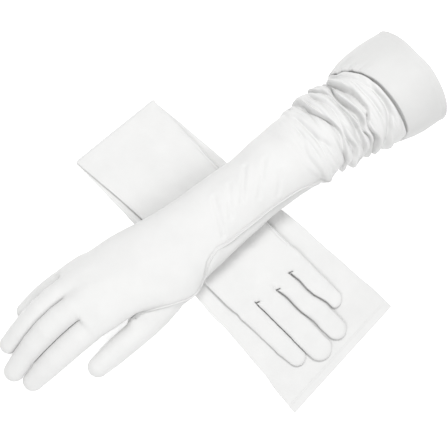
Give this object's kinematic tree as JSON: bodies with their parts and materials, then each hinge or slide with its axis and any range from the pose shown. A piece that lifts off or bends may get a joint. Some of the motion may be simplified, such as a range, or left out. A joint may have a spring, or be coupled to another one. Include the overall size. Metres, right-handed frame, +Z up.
{
  "type": "opera gloves",
  "caption": "Pair of white stretch opera gloves: a filled-out right glove with a gathered sleeve and a turned cuff band, lying across a folded left glove.",
  "frame": {"origin": "on the surface the gloves lie on, at the middle of their crossing", "axes": "+X along the right glove from its fingertips to its cuff, +Z up away from the surface, +Y towards the fold of the left glove"},
  "size_m": [0.4495, 0.308, 0.0914],
  "materials": {
    "fabric": "matt fine stretch knit",
    "band": "matt fine stretch knit, doubled",
    "seam": "stitched seam"
  },
  "bodies": {
    "left_sleeve": {"left_sleeve_lower_ply": "fabric", "left_sleeve_upper_ply": "fabric", "left_sleeve_seam": "seam", "left_hem_lower": "band", "left_hem_upper": "band", "left_fold_roll": "fabric"},
    "left_leaf": {"left_forearm_lower_ply": "fabric", "left_forearm_upper_ply": "fabric", "left_forearm_seam": "seam"},
    "left_hand": {"left_palm": "fabric", "left_hand_back": "fabric", "left_hand_seam": "seam", "left_thumb": "fabric", "left_hand_piping": "seam"},
    "right_forearm": {"right_forearm_back": "fabric", "right_forearm_palm": "fabric", "right_forearm_side_seam": "seam"},
    "right_hand": {"right_hand_back": "fabric", "right_palm": "fabric", "right_hand_side_seam": "seam"},
    "right_thumb_root": {"right_thumb_base": "fabric"},
    "right_thumb_end": {"right_thumb_tip": "fabric"},
    "right_cuff": {"right_cuff_band": "band", "right_cuff_hem": "band", "right_cuff_elastic": "band"},
    "gather_1": {"right_gather_1": "fabric"},
    "gather_2": {"right_gather_2": "fabric"},
    "gather_3": {"right_gather_3": "fabric"},
    "gather_4": {"right_gather_4": "fabric"},
    "gather_5": {"right_gather_5": "fabric"},
    "left_index_finger": {"left_index": "fabric"},
    "left_middle_finger": {"left_middle": "fabric"},
    "left_ring_finger": {"left_ring": "fabric"},
    "left_little_finger": {"left_little": "fabric"},
    "right_index_root": {"right_index_base": "fabric"},
    "right_index_end": {"right_index_tip": "fabric"},
    "right_middle_root": {"right_middle_base": "fabric"},
    "right_middle_end": {"right_middle_tip": "fabric"},
    "right_ring_root": {"right_ring_base": "fabric"},
    "right_ring_end": {"right_ring_tip": "fabric"},
    "right_little_root": {"right_little_base": "fabric"},
    "right_little_end": {"right_little_tip": "fabric"}
  },
  "joints": [
    {"name": "right_glove_lift", "type": "slide", "parent": "left_sleeve", "child": "right_forearm", "axis": [0, 0, 1], "range_m": [0, 0.42]},
    {"name": "left_unfold", "type": "hinge", "parent": "left_sleeve", "child": "left_leaf", "pos_m": [-0.02715, 0.12445, 0.00305], "axis": [-0.9971, -0.0761, 0], "range_deg": [0, 90.1]},
    {"name": "left_wrist_raise", "type": "hinge", "parent": "left_leaf", "child": "left_hand", "pos_m": [0.0015, -0.05015, 0.0079], "axis": [-1, 0, 0], "range_deg": [0, 75]},
    {"name": "left_index_raise", "type": "hinge", "parent": "left_hand", "child": "left_index_finger", "pos_m": [-0.0247, -0.0763, 0.0079], "axis": [-1, 0, 0], "range_deg": [0, 70]},
    {"name": "left_middle_raise", "type": "hinge", "parent": "left_hand", "child": "left_middle_finger", "pos_m": [-0.0034, -0.0778, 0.0079], "axis": [-1, 0, 0], "range_deg": [0, 70]},
    {"name": "left_ring_raise", "type": "hinge", "parent": "left_hand", "child": "left_ring_finger", "pos_m": [0.0178, -0.0776, 0.0079], "axis": [-1, 0, 0], "range_deg": [0, 70]},
    {"name": "left_little_raise", "type": "hinge", "parent": "left_hand", "child": "left_little_finger", "pos_m": [0.0372, -0.0739, 0.0079], "axis": [-1, 0, 0], "range_deg": [0, 70]},
    {"name": "right_wrist_raise", "type": "hinge", "parent": "right_forearm", "child": "right_hand", "pos_m": [-0.045, 0.0066, 0.0553], "axis": [0, 1, 0], "range_deg": [0, 50]},
    {"name": "right_thumb_open", "type": "hinge", "parent": "right_hand", "child": "right_thumb_root", "pos_m": [-0.084, -0.041, 0.02], "axis": [0, 0, 1], "range_deg": [0, 40]},
    {"name": "right_thumb_bend", "type": "hinge", "parent": "right_thumb_root", "child": "right_thumb_end", "pos_m": [-0.132, -0.0232, 0.013], "axis": [0, 0, -1], "range_deg": [0, 24.1]},
    {"name": "right_index_raise", "type": "hinge", "parent": "right_hand", "child": "right_index_root", "pos_m": [-0.1515, -0.0062, 0.0404], "axis": [0, 1, 0], "range_deg": [0, 50]},
    {"name": "right_index_curl", "type": "hinge", "parent": "right_index_root", "child": "right_index_end", "pos_m": [-0.189, -0.0097, 0.0134], "axis": [0, -1, 0], "range_deg": [0, 60.1]},
    {"name": "right_middle_raise", "type": "hinge", "parent": "right_hand", "child": "right_middle_root", "pos_m": [-0.1515, 0.01879, 0.0423], "axis": [0, 0.9903, -0.1392], "range_deg": [0, 50]},
    {"name": "right_middle_curl", "type": "hinge", "parent": "right_middle_root", "child": "right_middle_end", "pos_m": [-0.189, 0.01136, 0.01709], "axis": [0, -0.9903, 0.1392], "range_deg": [0, 60.1]},
    {"name": "right_ring_raise", "type": "hinge", "parent": "right_hand", "child": "right_ring_root", "pos_m": [-0.1515, 0.04015, 0.03211], "axis": [0, 0.866, -0.5], "range_deg": [0, 50]},
    {"name": "right_ring_curl", "type": "hinge", "parent": "right_ring_root", "child": "right_ring_end", "pos_m": [-0.189, 0.0265, 0.01255], "axis": [0, -0.866, 0.5], "range_deg": [0, 60.1]},
    {"name": "right_little_raise", "type": "hinge", "parent": "right_hand", "child": "right_little_root", "pos_m": [-0.1515, 0.05184, 0.01355], "axis": [0, 0.5, -0.866], "range_deg": [0, 50]},
    {"name": "right_little_curl", "type": "hinge", "parent": "right_little_root", "child": "right_little_end", "pos_m": [-0.173, 0.03642, 0.0048], "axis": [0, -0.5, 0.866], "range_deg": [0, 60.1]},
    {"name": "right_sleeve_extend", "type": "slide", "parent": "right_forearm", "child": "right_cuff", "axis": [1, 0, 0], "range_m": [0, 0.09]},
    {"name": "gather_1_slide", "type": "slide", "parent": "right_forearm", "child": "gather_1", "axis": [1, 0, 0], "range_m": [0, 0.0095]},
    {"name": "gather_2_slide", "type": "slide", "parent": "right_forearm", "child": "gather_2", "axis": [1, 0, 0], "range_m": [0, 0.0275]},
    {"name": "gather_3_slide", "type": "slide", "parent": "right_forearm", "child": "gather_3", "axis": [1, 0, 0], "range_m": [0, 0.0455]},
    {"name": "gather_4_slide", "type": "slide", "parent": "right_forearm", "child": "gather_4", "axis": [1, 0, 0], "range_m": [0, 0.0635]},
    {"name": "gather_5_slide", "type": "slide", "parent": "right_forearm", "child": "gather_5", "axis": [1, 0, 0], "range_m": [0, 0.0815]}
  ],
  "couplings": [
    {"joint": "left_unfold", "follows": "right_glove_lift", "rad_per_m": 3.74},
    {"joint": "right_thumb_bend", "follows": "right_thumb_open", "ratio": 0.6},
    {"joint": "right_index_curl", "follows": "right_index_raise", "ratio": 1.2},
    {"joint": "right_middle_curl", "follows": "right_middle_raise", "ratio": 1.2},
    {"joint": "right_ring_curl", "follows": "right_ring_raise", "ratio": 1.2},
    {"joint": "right_little_curl", "follows": "right_little_raise", "ratio": 1.2},
    {"joint": "gather_1_slide", "follows": "right_sleeve_extend", "ratio": 0.1},
    {"joint": "gather_2_slide", "follows": "right_sleeve_extend", "ratio": 0.3},
    {"joint": "gather_3_slide", "follows": "right_sleeve_extend", "ratio": 0.5},
    {"joint": "gather_4_slide", "follows": "right_sleeve_extend", "ratio": 0.7},
    {"joint": "gather_5_slide", "follows": "right_sleeve_extend", "ratio": 0.9}
  ]
}
